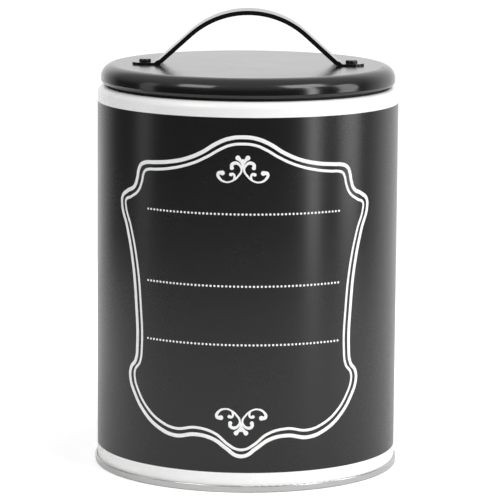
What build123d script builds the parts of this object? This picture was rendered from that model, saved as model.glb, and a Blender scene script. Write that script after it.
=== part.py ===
from build123d import *
import math
import os

# Coffee tin: a round double seamed canister with a slip lid and a strap handle.
# Millimetres, +Z up. The origin is the centre of the base, on the floor, the printed front
# faces -Y and the handle runs along X. Each piece is written to parts/NODE.step.

# ---- driving dimensions ----
body_radius = 55.0           # outside of the wall
body_height = 139.5          # floor to the crown of the shoulder
lid_height = 7.9             # crown of the shoulder to the flat top of the lid
handle_rise = 19.9           # flat top of the lid to the top of the handle
sheet = 0.25                 # tinplate of every pressed piece
layer_gap = 0.03             # between sheets that are folded together

shoulder_radius = 2.6        # outside of the curled mouth
curl_turn = 255.0            # degrees that the mouth is rolled, from the wall inwards

seam_height = 2.6            # double seam round the foot
countersink = 3.9            # floor to the underside of the bottom panel
step_inset = 10.6            # countersink wall to the stamped step in the bottom panel
step_width = 3.0
step_rise = 1.0
step_edge_radius = 1.0

lock_seam_width = 5.0        # folded joint down the back of the wall
lock_seam_rise = 0.25        # how far it stands out of the wall

lid_inset = 1.2              # widest part of the cap inside the wall's outside
lid_gap = 0.9                # crown of the shoulder to the underside of the cap's hem
lid_edge_radius = 4.7        # rounded top edge of the cap
hem_edge_radius = 1.5        # rounded lower edge of the cap
hem_width = 2.3              # cap's hem, from its widest part inwards

plug_clearance = 0.4         # inside of the mouth to the plug, all round
plug_depth = 12.0            # plug below the flange
plug_edge_radius = 2.0       # plug wall to plug floor
flange_edge_radius = 0.6     # flange to plug wall
flange_margin = 0.1          # flange edge to the start of the hem's bend

seal_edge_radius = 0.25
seal_clearance = 0.3         # seal to the curl, with the lid down

strap_width = 12.6
strap_thickness = 1.6
strap_arc_angle = 42.0       # degrees from the top of the arch to its straight legs
strap_bend_radius = 1.6      # inside bend between leg and foot
strap_margin = 6.8           # tip of a foot to the start of the lid's rounded edge
foot_length = 10.0           # knee of the leg to the tip of the foot
foot_thickness = 0.7         # foot pressed thinner than the strap
strap_corner_radius = 4.5    # rounded tip, seen from above

rivet_inset = 4.6            # tip of a foot to the rivet
rivet_shank_radius = 1.3
rivet_hole_clearance = 0.05
rivet_head_radius = 2.2
rivet_head_height = 0.95
rivet_head_edge = 0.6        # rounded rim of the head
rivet_tail_radius = 2.2
rivet_tail_height = 0.9
rivet_tail_edge = 0.3

# ---- places that follow ----
wall_line = body_radius - sheet / 2
fold_pitch = 2 * (sheet + layer_gap)
wall_hook_line = wall_line + fold_pitch
end_hook_line = wall_line + fold_pitch / 2
end_wall_line = end_hook_line + fold_pitch
chuck_wall_line = wall_line - sheet - layer_gap
seam_bend = fold_pitch / 2

foot_bend_line = 1.5 * sheet + layer_gap + seam_bend

curl_line_radius = shoulder_radius - sheet / 2
curl_centre_r = body_radius - shoulder_radius
curl_centre_z = body_height - shoulder_radius
mouth_radius = body_radius - 2 * shoulder_radius

lid_radius = body_radius - lid_inset
lid_top = body_height + lid_height
hem_bottom = body_height + lid_gap
hem_inner = lid_radius - hem_width
cap_edge = min(lid_edge_radius, lid_top - hem_bottom - hem_edge_radius - sheet)
cap_line = lid_radius - sheet / 2
cap_top_line = lid_top - sheet / 2
hem_line = hem_bottom + sheet / 2
flange_line = hem_line + sheet + layer_gap
flange_under = flange_line - sheet / 2
plug_line = mouth_radius - plug_clearance - sheet / 2
plug_radius = plug_line + sheet / 2
plug_floor_line = flange_line - plug_depth

foot_under = lid_top + layer_gap
foot_line = foot_under + strap_thickness / 2
foot_top = foot_under + foot_thickness
strap_end = lid_radius - cap_edge - strap_margin
knee_x = strap_end - foot_length
arch_top = lid_top + handle_rise - strap_thickness / 2
leg_slope = math.tan(math.radians(strap_arc_angle))
rivet_offset = strap_end - rivet_inset


def folded_sheet(*path):
    """Turn a line of (radius, height) edges into a ring of sheet metal about Z."""
    section = trace(list(path), line_width=sheet)
    return revolve(Plane.XZ * section, Axis.Z)


def make_tin_body():
    """Wall with its foot hook, its inward curled mouth and the lock seam down its back."""
    hook_top = seam_height - 2 * sheet - layer_gap
    hook = Line((wall_hook_line, hook_top), (wall_hook_line, foot_bend_line))
    foot_bend = CenterArc((end_hook_line, foot_bend_line), seam_bend, 0, -180)
    wall = Line((wall_line, foot_bend_line), (wall_line, curl_centre_z))
    curl = CenterArc((curl_centre_r, curl_centre_z), curl_line_radius, 0, curl_turn)
    shell = folded_sheet(hook, foot_bend, wall, curl)

    seam_low = seam_height + sheet
    seam_length = curl_centre_z - seam_low
    strip = Pos(0, 0, seam_low + seam_length / 2) * Cylinder(body_radius + lock_seam_rise, seam_length)
    strip -= Pos(0, 0, seam_low + seam_length / 2) * Cylinder(body_radius - sheet / 2, seam_length)
    strip &= Pos(0, body_radius, seam_low + seam_length / 2) * Box(lock_seam_width, body_radius, seam_length)
    return shell + strip


def make_bottom_end():
    """Stamped end: hook inside the seam, outer wall, countersink wall and stepped panel."""
    top_line = seam_height - sheet / 2 - seam_bend
    panel_line = countersink + sheet / 2
    step_line = panel_line + step_rise
    step_outer = chuck_wall_line - step_inset
    hook = Line((end_hook_line, foot_bend_line), (end_hook_line, top_line))
    over = CenterArc((wall_hook_line, top_line), seam_bend, 180, -180)
    foot = FilletPolyline(
        (end_wall_line, top_line),
        (end_wall_line, sheet / 2),
        (chuck_wall_line, sheet / 2),
        (chuck_wall_line, panel_line),
        (step_outer, panel_line),
        (step_outer - step_width, step_line),
        (0, step_line),
        radius=[2 * sheet, sheet, 2 * sheet, step_edge_radius, step_edge_radius],
    )
    return folded_sheet(hook, over, foot)


def make_lid_cap():
    """Drawn cap: flat top with two rivet holes, rounded edge, and a hem turned in below."""
    skirt = FilletPolyline(
        (0, cap_top_line),
        (cap_line, cap_top_line),
        (cap_line, hem_line),
        (hem_inner, hem_line),
        radius=[cap_edge - sheet / 2, hem_edge_radius - sheet / 2],
    )
    cap = folded_sheet(skirt)
    hole = Cylinder(rivet_shank_radius + rivet_hole_clearance, 4 * sheet)
    for side in (-1, 1):
        cap -= Pos(side * rivet_offset, 0, cap_top_line) * hole
    return cap


def make_lid_plug():
    """Pan under the cap: its flange lies on the hem, its wall goes down into the mouth."""
    pan = FilletPolyline(
        (lid_radius - hem_edge_radius - flange_margin, flange_line),
        (plug_line, flange_line),
        (plug_line, plug_floor_line),
        (0, plug_floor_line),
        radius=[flange_edge_radius, plug_edge_radius],
    )
    return folded_sheet(pan)


def make_lid_seal():
    """Soft ring round the plug, under the flange and just above the curled mouth."""
    inner = plug_radius + layer_gap
    outer = hem_inner - layer_gap
    reach = max(curl_centre_r - outer, 0)
    low = curl_centre_z + math.sqrt(shoulder_radius**2 - reach**2) + seal_clearance
    high = flange_under - layer_gap
    section = Pos((inner + outer) / 2, (low + high) / 2) * Rectangle(outer - inner, high - low)
    under_flange = section.vertices().group_by(Axis.X)[0].sort_by(Axis.Y)[-1]
    section = fillet(under_flange, flange_edge_radius)
    section = fillet(section.vertices().group_by(Axis.X)[-1], seal_edge_radius)
    return revolve(Plane.XZ * section, Axis.Z)


def strap_half(side):
    """Half of the strap's line: arc at the top, straight leg, knee, and foot to its tip.

    The arc's radius is the one that leaves the leg, at its slope, to reach the knee.
    """
    angle = math.radians(strap_arc_angle)
    drop = arch_top - foot_line
    arch_radius = (knee_x - drop / leg_slope) / (math.sin(angle) - (1 - math.cos(angle)) / leg_slope)
    leg_x = arch_radius * math.sin(angle)
    leg_z = arch_top - arch_radius * (1 - math.cos(angle))
    arch = CenterArc((0, arch_top - arch_radius), arch_radius, 90, -side * strap_arc_angle)
    leg = FilletPolyline(
        (side * leg_x, leg_z),
        (side * knee_x, foot_line),
        (side * strap_end, foot_line),
        radius=strap_bend_radius + strap_thickness / 2,
    )
    return [arch, leg]


def above_foot(side):
    """What is pressed out of the strap above one foot, from the end of its bend outwards."""
    half_turn = math.radians(strap_arc_angle / 2)
    start = knee_x + (strap_thickness / 2 + strap_bend_radius) * math.tan(half_turn)
    full_top = foot_under + strap_thickness
    high = full_top + foot_thickness
    outline = Polyline(
        (side * start, high),
        (side * start, full_top),
        (side * (start + (full_top - foot_top) / leg_slope), foot_top),
        (side * (strap_end + foot_length), foot_top),
        (side * (strap_end + foot_length), high),
        close=True,
    )
    return extrude(Plane.XZ * make_face(outline), strap_width, both=True)


def make_handle_strap():
    """Bent flat strap with thinner, rounded feet, each with one rivet hole."""
    halves = [Plane.XZ * trace(strap_half(side), line_width=strap_thickness) for side in (-1, 1)]
    half_solids = [extrude(half, strap_width / 2, both=True) for half in halves]
    strap = half_solids[0] + half_solids[1]
    plan = RectangleRounded(2 * strap_end, strap_width, strap_corner_radius)
    strap &= Pos(0, 0, lid_top) * extrude(plan, 2 * handle_rise)
    hole = Cylinder(rivet_shank_radius + rivet_hole_clearance, 2 * strap_thickness)
    for side in (-1, 1):
        strap -= above_foot(side)
        strap -= Pos(side * rivet_offset, 0, foot_line) * hole
    return strap


def make_rivet():
    """Low headed rivet on Z, with its head on the foot and its set tail under the cap."""
    head_top = foot_top + layer_gap + rivet_head_height
    tail_top = lid_top - sheet - layer_gap
    tail_low = tail_top - rivet_tail_height
    tail = FilletPolyline(
        (0, tail_low),
        (rivet_tail_radius, tail_low),
        (rivet_tail_radius, tail_top),
        (rivet_shank_radius, tail_top),
        radius=rivet_tail_edge,
    )
    shank = Line((rivet_shank_radius, tail_top), (rivet_shank_radius, foot_top + layer_gap))
    head = FilletPolyline(
        (rivet_shank_radius, foot_top + layer_gap),
        (rivet_head_radius, foot_top + layer_gap),
        (rivet_head_radius, head_top),
        (0, head_top),
        radius=[rivet_tail_edge / 3, rivet_head_edge],
    )
    axis = Line((0, head_top), (0, tail_low))
    return revolve(Plane.XZ * make_face([tail, shank, head, axis]), Axis.Z)


def make_handle_rivets():
    """The same rivet through each foot."""
    return Compound([Pos(side * rivet_offset, 0, 0) * make_rivet() for side in (-1, 1)])


pieces = {
    "tin_body": make_tin_body(),
    "bottom_end": make_bottom_end(),
    "lid_cap": make_lid_cap(),
    "lid_plug": make_lid_plug(),
    "lid_seal": make_lid_seal(),
    "handle_strap": make_handle_strap(),
    "handle_rivets": make_handle_rivets(),
}

os.makedirs("parts", exist_ok=True)
for node, shape in pieces.items():
    shape.label = node
    export_step(shape, f"parts/{node}.step")
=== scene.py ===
import math

import bpy
from mathutils import Euler, Matrix, Vector


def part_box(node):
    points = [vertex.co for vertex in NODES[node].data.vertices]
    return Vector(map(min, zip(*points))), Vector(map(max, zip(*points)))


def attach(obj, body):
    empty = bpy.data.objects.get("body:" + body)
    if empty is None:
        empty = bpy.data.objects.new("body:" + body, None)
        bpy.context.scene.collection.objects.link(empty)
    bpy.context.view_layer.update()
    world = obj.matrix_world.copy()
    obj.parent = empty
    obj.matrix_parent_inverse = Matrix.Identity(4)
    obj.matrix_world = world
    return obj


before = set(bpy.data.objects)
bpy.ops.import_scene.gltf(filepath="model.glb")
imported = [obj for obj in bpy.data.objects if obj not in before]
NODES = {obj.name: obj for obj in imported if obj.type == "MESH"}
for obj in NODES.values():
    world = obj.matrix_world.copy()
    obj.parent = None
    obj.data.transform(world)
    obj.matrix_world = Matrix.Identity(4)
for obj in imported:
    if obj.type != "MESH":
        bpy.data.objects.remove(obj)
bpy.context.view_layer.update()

# Looks of a round coffee tin, in metres: a black and white printed wall, bare tinplate foot and
# inside, a black enamelled lid with a strap handle, and the white ornament printed on the front.
# The ornament is drawn flat, with x along the wall and y as height, and is then rolled round it.

bl_info = {
    "name": "Coffee tin looks",
    "version": (1, 0, 0),
    "blender": (4, 5, 0),
    "location": "3D View > Sidebar > Coffee tin",
    "description": "Finishes, printed ornament and studio for a round coffee tin",
    "category": "Object",
}

MM = 0.001
WALL_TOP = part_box("tin_body")[1].z
WALL_RADIUS = max(
    math.hypot(v.co.x, v.co.y)
    for v in NODES["tin_body"].data.vertices
    if v.co.z > WALL_TOP / 2 and v.co.y < 0
)
CURL_HEIGHT = 5.2 * MM
SHEET = 0.25 * MM
PAINTED_NODES = ("lid_cap", "handle_strap", "handle_rivets")
BARE_NODES = ("bottom_end", "lid_plug")

# Left half of the frame, from the middle of the top edge to the middle of the bottom edge, as
# (millimetres from the middle of the front, height in millimetres) along the middle of each line.
OUTER_FRAME = (
    (0, 127.3), (-5, 126.7), (-9.5, 124.8), (-14.5, 121.7), (-20.5, 119.1), (-27.5, 117.5),
    (-34, 116.8), (-37.8, 116.4), (-40.1, 115.3), (-41.2, 113.3), (-41.9, 110.4), (-43.4, 107.3),
    (-47.4, 105.2),
    (-50.3, 103), (-50.6, 99.8), (-47.6, 92.5), (-44.2, 80), (-42.3, 65), (-41.7, 50),
    (-42.6, 44.5), (-45.2, 41.2), (-45.5, 37.6), (-43.2, 32.5), (-38, 26), (-31.5, 21.4),
    (-24.5, 19.3), (-16.5, 20.4), (-10.2, 19.2), (-5.2, 15.9), (-1.6, 13.4),
)
INNER_FRAME = (
    (0, 124.9), (-4.5, 124.4), (-8.2, 122.8), (-13, 120), (-19, 117.3), (-27, 115.2),
    (-33, 114.4), (-36.4, 114.1), (-38.0, 113.4), (-38.8, 112.1), (-39.6, 109.2), (-41.4, 105.9),
    (-45.2, 103.4),
    (-48.2, 101.9), (-48.2, 99.6), (-45.2, 92.3), (-41.9, 80), (-40, 65), (-39.4, 50),
    (-40.4, 44), (-42.9, 40.8), (-43, 37.8), (-41, 33.3), (-36.4, 27.6), (-30.6, 23.7),
    (-24.3, 21.9), (-16.3, 22.9), (-9.4, 21.2), (-4.6, 17.4), (-1.5, 15.7),
)

# Left half of a scroll, about the middle of its crossing: (x, y, width) in millimetres.
SCROLL_STEM = (
    (-7.3, -1.4, 1.5), (-8.7, -1.8, 1.2), (-8.1, -3.6, 0.9), (-5.9, -4.7, 0.62), (-3.6, -4.2, 0.62),
    (-1.7, -2.6, 0.7), (-0.45, -0.4, 0.75), (-1.0, 1.2, 0.85), (-2.5, 2.1, 1.2), (-3.9, 1.4, 1.2),
    (-3.8, 0.4, 1.2),
)
SCROLL_CURL = ((-3.2, -3.9, 0.7), (-2.9, -2.6, 0.8), (-3.5, -1.8, 0.9), (-4.1, -1.9, 0.9))
SCROLL_LEAF = ((-1.8, 3.9, 1.5), (-0.9, 3, 1.1), (-0.2, 1.4, 0.6), (0, 0.1, 0.35))
SCROLL_BALLS = ((-7.2, -1.5, 0.85), (-3.85, 0.35, 0.72), (-4.2, -2, 0.62), (-1.75, 3.9, 0.85))
LEAF_HEART = (0, 2.7, 0.75)
BALL_SIDES = 28
DOT_SIDES = 12

# Second colours that the noise in each finish fades towards.
FADED_INK = (0.5, 0.5, 0.5)
HAZED_TINPLATE = (0.42, 0.42, 0.415)
CLOUDED_ENAMEL = (0.007, 0.007, 0.007)
WORN_RUBBER = (0.03, 0.03, 0.03)
MOTTLED_WHITE = (0.7, 0.7, 0.7)


class TinSettings(bpy.types.PropertyGroup):
    """Sizes and colours of the tin's print and finishes."""

    band_top: bpy.props.FloatProperty(
        name="Upper white band", description="Height at which the black field ends",
        default=134.1 * MM, unit="LENGTH")
    band_foot: bpy.props.FloatProperty(
        name="Lower white band", description="Height at which the black field starts",
        default=7.1 * MM, unit="LENGTH")
    black_ink: bpy.props.FloatVectorProperty(
        name="Black print", description="Colour of the printed field",
        default=(0.0045, 0.0045, 0.0047), subtype="COLOR", min=0, max=1)
    white_ink: bpy.props.FloatVectorProperty(
        name="White print", description="Colour of the bands and the ornament",
        default=(0.86, 0.86, 0.855), subtype="COLOR", min=0, max=1)
    tinplate: bpy.props.FloatVectorProperty(
        name="Tinplate", description="Colour of the bare metal",
        default=(0.52, 0.52, 0.515), subtype="COLOR", min=0, max=1)
    enamel: bpy.props.FloatVectorProperty(
        name="Enamel", description="Colour of the lid and the handle",
        default=(0.0035, 0.0035, 0.0037), subtype="COLOR", min=0, max=1)
    rubber: bpy.props.FloatVectorProperty(
        name="Rubber", description="Colour of the seal",
        default=(0.012, 0.012, 0.012), subtype="COLOR", min=0, max=1)
    ink_rise: bpy.props.FloatProperty(
        name="Ink thickness", description="How far the white ink stands out of the wall",
        default=0.05 * MM, unit="LENGTH")
    print_turn: bpy.props.FloatProperty(
        name="Print turn", description="Turn of the printed front about the tin's axis",
        default=math.radians(-1.7), subtype="ANGLE")
    outer_width: bpy.props.FloatProperty(
        name="Outer line", description="Width of the frame's outer line",
        default=1.4 * MM, unit="LENGTH")
    inner_width: bpy.props.FloatProperty(
        name="Inner line", description="Width of the frame's inner line",
        default=1.0 * MM, unit="LENGTH")
    rule_length: bpy.props.FloatProperty(
        name="Rule length", description="Length of a dotted rule",
        default=73 * MM, unit="LENGTH")
    dot_pitch: bpy.props.FloatProperty(
        name="Dot pitch", description="Distance between the dots of a rule",
        default=1.4 * MM, unit="LENGTH")
    dot_radius: bpy.props.FloatProperty(
        name="Dot radius", description="Radius of a dot of a rule",
        default=0.4 * MM, unit="LENGTH")
    rule_heights: bpy.props.FloatVectorProperty(
        name="Rule heights", description="Heights of the three dotted rules",
        default=(100.0 * MM, 74.3 * MM, 53.3 * MM), unit="LENGTH")
    scroll_heights: bpy.props.FloatVectorProperty(
        name="Scroll heights", description="Heights of the lower and the upper scroll",
        default=(25.5 * MM, 116.1 * MM), size=2, unit="LENGTH")


class StudioSettings(bpy.types.PropertyGroup):
    """Camera, floor and lights."""

    camera_distance: bpy.props.FloatProperty(
        name="Camera distance", description="From the tin's axis to the camera",
        default=21.175 * WALL_RADIUS, unit="LENGTH")
    camera_height: bpy.props.FloatProperty(
        name="Camera height", description="Height of the camera above the floor",
        default=268.5 * MM, unit="LENGTH")
    camera_pitch: bpy.props.FloatProperty(
        name="Camera pitch", description="How far the camera looks down",
        default=math.radians(9.2675), subtype="ANGLE")
    camera_roll: bpy.props.FloatProperty(
        name="Camera roll", description="Turn of the camera about its own axis",
        default=math.radians(0.43), subtype="ANGLE")
    camera_yaw: bpy.props.FloatProperty(
        name="Camera yaw", description="Turn of the camera to the right",
        default=math.radians(0.056), subtype="ANGLE")
    lens: bpy.props.FloatProperty(
        name="Lens", description="Focal length in millimetres on a 36 mm sensor",
        default=230.4)
    floor_radius: bpy.props.FloatProperty(
        name="Floor radius", description="Radius of the round white table",
        default=0.45, unit="LENGTH")


def deselect_all():
    if bpy.context.object and bpy.context.object.mode != "OBJECT":
        bpy.ops.object.mode_set(mode="OBJECT")
    bpy.ops.object.select_all(action="DESELECT")


def active_object(name):
    made = bpy.context.object
    made.name = name
    made.data.name = name
    return made


def join_pieces(parts, name):
    """Join finished meshes into one piece with its origin at the world's origin."""
    deselect_all()
    for part in parts:
        part.select_set(True)
    bpy.context.view_layer.objects.active = parts[0]
    if len(parts) > 1:
        bpy.ops.object.join()
    return active_object(name)


# ---- materials ----


class Graph:
    """Short calls for the nodes of one material or world."""

    def __init__(self, owner):
        owner.use_nodes = True
        self.tree = owner.node_tree
        self.tree.nodes.clear()

    def node(self, kind, inputs=None, **settings):
        made = self.tree.nodes.new(kind)
        for key, value in settings.items():
            setattr(made, key, value)
        for socket, value in (inputs or {}).items():
            if isinstance(value, bpy.types.NodeSocket):
                self.tree.links.new(value, made.inputs[socket])
            else:
                made.inputs[socket].default_value = value
        return made

    def math(self, operation, first, second=0.0):
        return self.node("ShaderNodeMath", {0: first, 1: second}, operation=operation).outputs[0]

    def step(self, value, edge, width):
        """0 below edge and 1 above it, over a soft width."""
        inputs = {"Value": value, "From Min": edge - width / 2, "From Max": edge + width / 2}
        return self.node("ShaderNodeMapRange", inputs, clamp=True).outputs[0]

    def spread(self, value, low, high):
        """low where the value is 0 and high where it is 1."""
        inputs = {"Value": value, "To Min": low, "To Max": high}
        return self.node("ShaderNodeMapRange", inputs).outputs[0]

    def mix(self, factor, first, second):
        made = self.node("ShaderNodeMix", data_type="RGBA")
        for socket, value in ((0, factor), (6, first), (7, second)):
            if isinstance(value, bpy.types.NodeSocket):
                self.tree.links.new(value, made.inputs[socket])
            else:
                made.inputs[socket].default_value = value
        return made.outputs[2]

    def place(self):
        return self.node("ShaderNodeTexCoord").outputs["Object"]

    def noise(self, vector, scale, detail=3.0, roughness=0.5):
        inputs = {"Vector": vector, "Scale": scale, "Detail": detail, "Roughness": roughness}
        return self.node("ShaderNodeTexNoise", inputs).outputs["Fac"]

    def stretched(self, vector, scale):
        return self.node("ShaderNodeMapping", {"Vector": vector, "Scale": scale}).outputs[0]

    def bump(self, height, distance, strength=1.0, normal=None):
        inputs = {"Height": height, "Distance": distance, "Strength": strength}
        if normal is not None:
            inputs["Normal"] = normal
        return self.node("ShaderNodeBump", inputs).outputs[0]

    def surface(self, inputs):
        shader = self.node("ShaderNodeBsdfPrincipled", inputs)
        self.node("ShaderNodeOutputMaterial", {"Surface": shader.outputs[0]})


def colour(value):
    return (*value, 1.0)


def finish(node_name, material):
    """Give every slot of a CAD node the same material."""
    for slot in NODES[node_name].material_slots:
        slot.material = material


def printed_wall_material(tin):
    """Satin litho print: black field between two white bands, bare tinplate inside."""
    material = bpy.data.materials.new("printed_wall")
    g = Graph(material)
    place = g.place()
    parts = g.node("ShaderNodeSeparateXYZ", {0: place}).outputs
    flat = g.node("ShaderNodeCombineXYZ", {0: parts[0], 1: parts[1]}).outputs[0]
    radius = g.node("ShaderNodeVectorMath", {0: flat}, operation="LENGTH").outputs["Value"]
    edge = 0.12 * MM
    below_top = g.math("SUBTRACT", 1.0, g.step(parts[2], tin.band_top, edge))
    field = g.math("MULTIPLY", below_top, g.step(parts[2], tin.band_foot, edge))
    within = g.math("SUBTRACT", 1.0, g.step(radius, WALL_RADIUS - SHEET / 2, SHEET / 10))
    under_curl = g.math("SUBTRACT", 1.0, g.step(parts[2], WALL_TOP - CURL_HEIGHT / 2, SHEET))
    bare = g.math("MULTIPLY", within, under_curl)

    grain = g.noise(place, 900.0, 4.0)
    cloud = g.noise(place, 38.0, 3.0)
    rolled = g.noise(g.stretched(place, (240.0, 240.0, 9.0)), 6.0, 4.0)
    ink = g.mix(field, colour(tin.white_ink), colour(tin.black_ink))
    ink = g.mix(g.spread(cloud, 0.0, 0.06), ink, colour(FADED_INK))
    ink = g.mix(g.math("MULTIPLY", field, 0.985), ink, colour(tin.black_ink))
    base = g.mix(bare, ink, colour(tin.tinplate))
    satin = g.math("ADD", g.spread(cloud, 0.23, 0.30), g.spread(grain, -0.02, 0.02))
    metal = g.spread(rolled, 0.22, 0.32)
    rough = g.node("ShaderNodeMix", {0: bare, 2: satin, 3: metal}).outputs[0]
    peel = g.bump(g.noise(place, 420.0, 2.0), 0.0022 * MM)
    g.surface({"Base Color": base, "Metallic": bare, "Roughness": rough, "Normal": peel})
    return material


def tinplate_material(tin):
    """Bright cold rolled tinplate with fine rolling lines and handling haze."""
    material = bpy.data.materials.new("bare_tinplate")
    g = Graph(material)
    place = g.place()
    lines = g.noise(g.stretched(place, (1.0, 30.0, 30.0)), 70.0, 5.0)
    haze = g.noise(place, 55.0, 4.0)
    base = g.mix(g.spread(haze, 0.0, 0.35), colour(tin.tinplate), colour(HAZED_TINPLATE))
    rough = g.math("ADD", g.spread(lines, 0.12, 0.26), g.spread(haze, -0.03, 0.06))
    normal = g.bump(lines, 0.0015 * MM)
    g.surface({"Base Color": base, "Metallic": 1.0, "Roughness": rough, "Normal": normal})
    return material


def enamel_material(tin):
    """Smooth black stoving enamel with a faint orange peel and a few dust nibs."""
    material = bpy.data.materials.new("black_enamel")
    g = Graph(material)
    place = g.place()
    cloud = g.noise(place, 45.0, 3.0)
    nibs = g.step(g.noise(place, 1500.0, 1.0), 0.74, 0.04)
    base = g.mix(g.spread(cloud, 0.0, 0.3), colour(tin.enamel), colour(CLOUDED_ENAMEL))
    rough = g.math("ADD", g.spread(cloud, 0.12, 0.18), g.math("MULTIPLY", nibs, 0.08))
    peel = g.bump(g.noise(place, 330.0, 2.0), 0.0045 * MM)
    normal = g.bump(nibs, 0.004 * MM, 0.5, peel)
    g.surface({"Base Color": base, "Roughness": rough, "Normal": normal})
    return material


def rubber_material(tin):
    """Matt moulded rubber with a fine texture."""
    material = bpy.data.materials.new("seal_rubber")
    g = Graph(material)
    place = g.place()
    grain = g.noise(place, 1600.0, 4.0)
    base = g.mix(g.spread(grain, 0.0, 0.4), colour(tin.rubber), colour(WORN_RUBBER))
    rough = g.spread(grain, 0.6, 0.8)
    g.surface({"Base Color": base, "Roughness": rough, "Normal": g.bump(grain, 0.01 * MM)})
    return material


def white_ink_material(tin):
    """The same satin white as the bands, with the slight mottle of a printed solid."""
    material = bpy.data.materials.new("white_ink")
    g = Graph(material)
    place = g.place()
    mottle = g.noise(place, 700.0, 4.0)
    base = g.mix(g.spread(mottle, 0.0, 0.12), colour(tin.white_ink), colour(MOTTLED_WHITE))
    rough = g.spread(mottle, 0.26, 0.36)
    g.surface({"Base Color": base, "Roughness": rough})
    return material


def ink_material(tin):
    return bpy.data.materials.get("white_ink") or white_ink_material(tin)


# ---- flat ornament ----


def ink_stroke(points, closed=False):
    """A flat curve of (x, y, width) points in metres, made a closed mesh of lens section."""
    deselect_all()
    bpy.ops.curve.primitive_bezier_curve_add(location=(0, 0, 0))
    curve = bpy.context.object
    data = curve.data
    data.dimensions = "3D"
    data.twist_mode = "Z_UP"
    data.resolution_u = 10
    data.bevel_depth = 0.5
    data.bevel_resolution = 2
    data.use_fill_caps = True
    data.splines.clear()
    spline = data.splines.new("BEZIER")
    spline.use_cyclic_u = closed
    spline.bezier_points.add(len(points) - 1)
    for knot, (x, y, width) in zip(spline.bezier_points, points):
        knot.co = (x, y, 0)
        knot.radius = width
        knot.handle_left_type = knot.handle_right_type = "AUTO"
    curve.select_set(True)
    bpy.ops.object.convert(target="MESH")
    return bpy.context.object


def ink_disc(x, y, radius, sides):
    """A round spot of ink: a short closed prism."""
    deselect_all()
    bpy.ops.mesh.primitive_circle_add(
        vertices=sides, radius=radius, fill_type="NGON", location=(x, y, -radius))
    bpy.ops.object.transform_apply(location=True, rotation=True, scale=True)
    bpy.ops.object.mode_set(mode="EDIT")
    bpy.ops.mesh.select_all(action="SELECT")
    bpy.ops.mesh.extrude_region_move(TRANSFORM_OT_translate={"value": (0, 0, 2 * radius)})
    bpy.ops.mesh.select_all(action="SELECT")
    bpy.ops.mesh.normals_make_consistent(inside=False)
    bpy.ops.object.mode_set(mode="OBJECT")
    return bpy.context.object


def roll_onto_wall(piece, tin):
    """Flatten the piece to the ink's thickness and roll it round the wall."""
    depth = max(abs(vertex.co.z) for vertex in piece.data.vertices)
    for vertex in piece.data.vertices:
        angle = tin.print_turn + vertex.co.x / WALL_RADIUS
        radius = WALL_RADIUS + vertex.co.z / depth * tin.ink_rise
        vertex.co = (radius * math.sin(angle), -radius * math.cos(angle), vertex.co.y)
    deselect_all()
    piece.select_set(True)
    bpy.context.view_layer.objects.active = piece
    bpy.ops.object.mode_set(mode="EDIT")
    bpy.ops.mesh.select_all(action="SELECT")
    bpy.ops.mesh.remove_doubles(threshold=0.002 * MM)
    bpy.ops.mesh.normals_make_consistent(inside=False)
    bpy.ops.object.mode_set(mode="OBJECT")
    piece.data.materials.clear()
    piece.data.materials.append(ink_material(tin))
    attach(piece, "tin")


def whole_frame(left_half, width):
    """Close the left half of a frame line with its mirror image, in metres."""
    right_half = [(-x, y) for x, y in reversed(left_half) if x]
    return [(x * MM, y * MM, width) for x, y in (*left_half, *right_half)]


def scroll_parts(height, upright):
    """Strokes and spots of one scroll, both halves, about its crossing height."""
    flip = 1 if upright else -1

    def placed(side, points):
        return [(side * x * MM, height + flip * y * MM, width * MM) for x, y, width in points]

    parts = []
    for side in (-1, 1):
        for stroke in (SCROLL_STEM, SCROLL_CURL, SCROLL_LEAF):
            parts.append(ink_stroke(placed(-side, stroke)))
        for x, y, radius in placed(-side, SCROLL_BALLS):
            parts.append(ink_disc(x, y, radius, BALL_SIDES))
    x, y, radius = placed(1, (LEAF_HEART,))[0]
    parts.append(ink_disc(x, y, radius, BALL_SIDES))
    return parts


# ---- operators ----


class COFFEETIN_OT_wall(bpy.types.Operator):
    """Finish the printed wall."""

    bl_idname = "coffeetin.wall"
    bl_label = "Printed wall"

    def execute(self, context):
        finish("tin_body", printed_wall_material(context.scene.coffee_tin))
        return {"FINISHED"}


class COFFEETIN_OT_tinplate(bpy.types.Operator):
    """Finish the bare tinplate of the foot and of the lid's inner pan."""

    bl_idname = "coffeetin.tinplate"
    bl_label = "Bare tinplate"

    def execute(self, context):
        material = tinplate_material(context.scene.coffee_tin)
        for name in BARE_NODES:
            finish(name, material)
        return {"FINISHED"}


class COFFEETIN_OT_enamel(bpy.types.Operator):
    """Finish the lid, its handle and the rivets in black enamel."""

    bl_idname = "coffeetin.enamel"
    bl_label = "Enamelled lid and handle"

    def execute(self, context):
        material = enamel_material(context.scene.coffee_tin)
        for name in PAINTED_NODES:
            finish(name, material)
        return {"FINISHED"}


class COFFEETIN_OT_seal(bpy.types.Operator):
    """Finish the seal in rubber."""

    bl_idname = "coffeetin.seal"
    bl_label = "Seal"

    def execute(self, context):
        finish("lid_seal", rubber_material(context.scene.coffee_tin))
        return {"FINISHED"}


class COFFEETIN_OT_frame_lines(bpy.types.Operator):
    """Print the two lines of the shaped frame on the front."""

    bl_idname = "coffeetin.frame_lines"
    bl_label = "Frame lines"

    def execute(self, context):
        tin = context.scene.coffee_tin
        lines = (
            ("frame_outer_line", OUTER_FRAME, tin.outer_width),
            ("frame_inner_line", INNER_FRAME, tin.inner_width),
        )
        for name, half, width in lines:
            piece = join_pieces([ink_stroke(whole_frame(half, width), closed=True)], name)
            roll_onto_wall(piece, tin)
        return {"FINISHED"}


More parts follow.
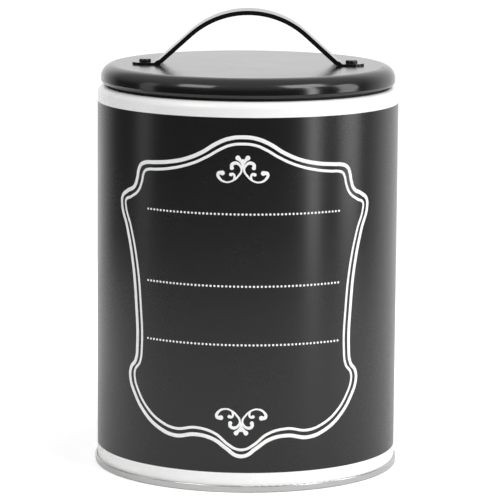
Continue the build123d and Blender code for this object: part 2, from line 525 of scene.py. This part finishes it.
class COFFEETIN_OT_rules(bpy.types.Operator):
    """Print the three dotted rules."""

    bl_idname = "coffeetin.rules"
    bl_label = "Dotted rules"

    def execute(self, context):
        tin = context.scene.coffee_tin
        steps = round(tin.rule_length / tin.dot_pitch)
        for number, height in enumerate(tin.rule_heights, 1):
            start = -steps * tin.dot_pitch / 2
            first = ink_disc(start, height, tin.dot_radius, DOT_SIDES)
            dots = [first]
            for index in range(1, steps + 1):
                dot = first.copy()
                dot.data = first.data.copy()
                dot.data.transform(Matrix.Translation((index * tin.dot_pitch, 0, 0)))
                context.collection.objects.link(dot)
                dots.append(dot)
            roll_onto_wall(join_pieces(dots, f"dotted_rule_{number}"), tin)
        return {"FINISHED"}


class COFFEETIN_OT_scrolls(bpy.types.Operator):
    """Print the scroll at the top of the frame and its mirror image at the bottom."""

    bl_idname = "coffeetin.scrolls"
    bl_label = "Scrolls"

    def execute(self, context):
        tin = context.scene.coffee_tin
        scrolls = zip(("scroll_lower", "scroll_upper"), tin.scroll_heights, (False, True))
        for name, height, upright in scrolls:
            roll_onto_wall(join_pieces(scroll_parts(height, upright), name), tin)
        return {"FINISHED"}


class COFFEETIN_OT_studio(bpy.types.Operator):
    """Set up the white table, the surroundings, the lights and the camera."""

    bl_idname = "coffeetin.studio"
    bl_label = "Studio"

    def execute(self, context):
        studio = context.scene.coffee_studio
        make_floor(studio)
        make_world(context.scene)
        make_lights()
        make_camera(context.scene, studio)
        context.scene.view_settings.view_transform = "Standard"
        return {"FINISHED"}


# ---- studio ----


def make_floor(studio):
    deselect_all()
    bpy.ops.mesh.primitive_circle_add(vertices=128, radius=studio.floor_radius, fill_type="NGON")
    floor = active_object("table")
    material = bpy.data.materials.new("white_table")
    g = Graph(material)
    grain = g.noise(g.place(), 60.0, 3.0)
    paper = g.mix(g.spread(grain, 0.0, 0.05), (0.9, 0.9, 0.9, 1.0), (0.8, 0.8, 0.8, 1.0))
    diffuse = g.node("ShaderNodeBsdfDiffuse", {"Color": paper})
    seen = g.node("ShaderNodeLightPath").outputs["Is Camera Ray"]
    glow = g.node("ShaderNodeEmission", {"Strength": g.math("MULTIPLY", seen, 0.3)})
    both = g.node("ShaderNodeAddShader", {0: diffuse.outputs[0], 1: glow.outputs[0]})
    g.node("ShaderNodeOutputMaterial", {"Surface": both.outputs[0]})
    floor.data.materials.append(material)


def make_world(scene):
    """White to the camera, and for light: dim in front, a white wall behind, more to the right."""
    world = bpy.data.worlds.new("studio_room")
    scene.world = world
    g = Graph(world)
    direction = g.node("ShaderNodeTexCoord").outputs["Generated"]
    parts = g.node("ShaderNodeSeparateXYZ", {0: direction}).outputs
    behind = g.step(g.math("ADD", parts[1], g.math("MULTIPLY", parts[0], 0.2)), 0.575, 0.45)
    above = g.step(parts[2], 0.45, 0.7)
    bright = g.math("MAXIMUM", behind, g.math("MULTIPLY", above, 0.75))
    room = g.spread(bright, 0.1, 1.1)
    seen = g.node("ShaderNodeLightPath").outputs["Is Camera Ray"]
    strength = g.math("MAXIMUM", room, seen)
    background = g.node("ShaderNodeBackground", {"Color": (1, 1, 1, 1), "Strength": strength})
    g.node("ShaderNodeOutputWorld", {"Surface": background.outputs[0]})


def area_light(name, azimuth, distance, base, width, height, power, tilt=0.0):
    """A soft box that faces the tin; azimuth 0 is in front and 90 is at the tin's +X side."""
    angle = math.radians(azimuth)
    place = Vector((math.sin(angle) * distance, -math.cos(angle) * distance, base + height / 2))
    deselect_all()
    bpy.ops.object.light_add(type="AREA", location=place)
    light = active_object(name)
    light.data.shape = "RECTANGLE"
    light.data.size = width
    light.data.size_y = height
    light.data.energy = power
    target = Vector((0, 0, base + height / 2 - tilt))
    light.rotation_euler = (target - place).to_track_quat("-Z", "Y").to_euler()
    light.visible_camera = False


def make_lights():
    """Two soft boxes above, and three strips that draw the bright streaks down the wall."""
    area_light(
        "key_box", 52.0, distance=1.3, base=0.95, width=0.9, height=0.7, power=12.0, tilt=1.15)
    area_light(
        "fill_box", -46.0, distance=1.3, base=0.85, width=0.7, height=0.6, power=7.0, tilt=1.05)
    strips = (
        ("strip_right_front", 49.0, 0.62, 0.085, 0.9),
        ("strip_right_side", 81.0, 0.66, 0.2, 1.2),
        ("strip_left_side", -82.0, 0.66, 0.16, 0.25),
    )
    for name, azimuth, distance, width, power in strips:
        area_light(name, azimuth, distance, base=0.0, width=width, height=0.5, power=power)


def make_camera(scene, studio):
    deselect_all()
    place = (0, -studio.camera_distance, studio.camera_height)
    bpy.ops.object.camera_add(location=place)
    camera = active_object("camera")
    aim = Euler((math.pi / 2 - studio.camera_pitch, 0, -studio.camera_yaw), "XYZ").to_matrix()
    roll = Matrix.Rotation(studio.camera_roll, 3, "Z")
    camera.rotation_euler = (aim @ roll).to_euler()
    camera.data.sensor_width = 36.0
    camera.data.lens = studio.lens
    scene.camera = camera


OPERATORS = (
    COFFEETIN_OT_wall,
    COFFEETIN_OT_tinplate,
    COFFEETIN_OT_enamel,
    COFFEETIN_OT_seal,
    COFFEETIN_OT_frame_lines,
    COFFEETIN_OT_rules,
    COFFEETIN_OT_scrolls,
    COFFEETIN_OT_studio,
)


class COFFEETIN_PT_panel(bpy.types.Panel):
    """Lists the tin's settings and steps."""

    bl_label = "Coffee tin"
    bl_space_type = "VIEW_3D"
    bl_region_type = "UI"
    bl_category = "Coffee tin"

    def draw(self, context):
        for group in (context.scene.coffee_tin, context.scene.coffee_studio):
            for name in group.__annotations__:
                self.layout.prop(group, name)
        for step in OPERATORS:
            self.layout.operator(step.bl_idname)


CLASSES = (TinSettings, StudioSettings, *OPERATORS, COFFEETIN_PT_panel)


def register():
    for item in CLASSES:
        bpy.utils.register_class(item)
    bpy.types.Scene.coffee_tin = bpy.props.PointerProperty(type=TinSettings)
    bpy.types.Scene.coffee_studio = bpy.props.PointerProperty(type=StudioSettings)


def unregister():
    del bpy.types.Scene.coffee_studio
    del bpy.types.Scene.coffee_tin
    for item in reversed(CLASSES):
        bpy.utils.unregister_class(item)


def main():
    register()
    for step in OPERATORS:
        getattr(bpy.ops.coffeetin, step.bl_idname.split(".")[1])()


if __name__ == "__main__":
    main()
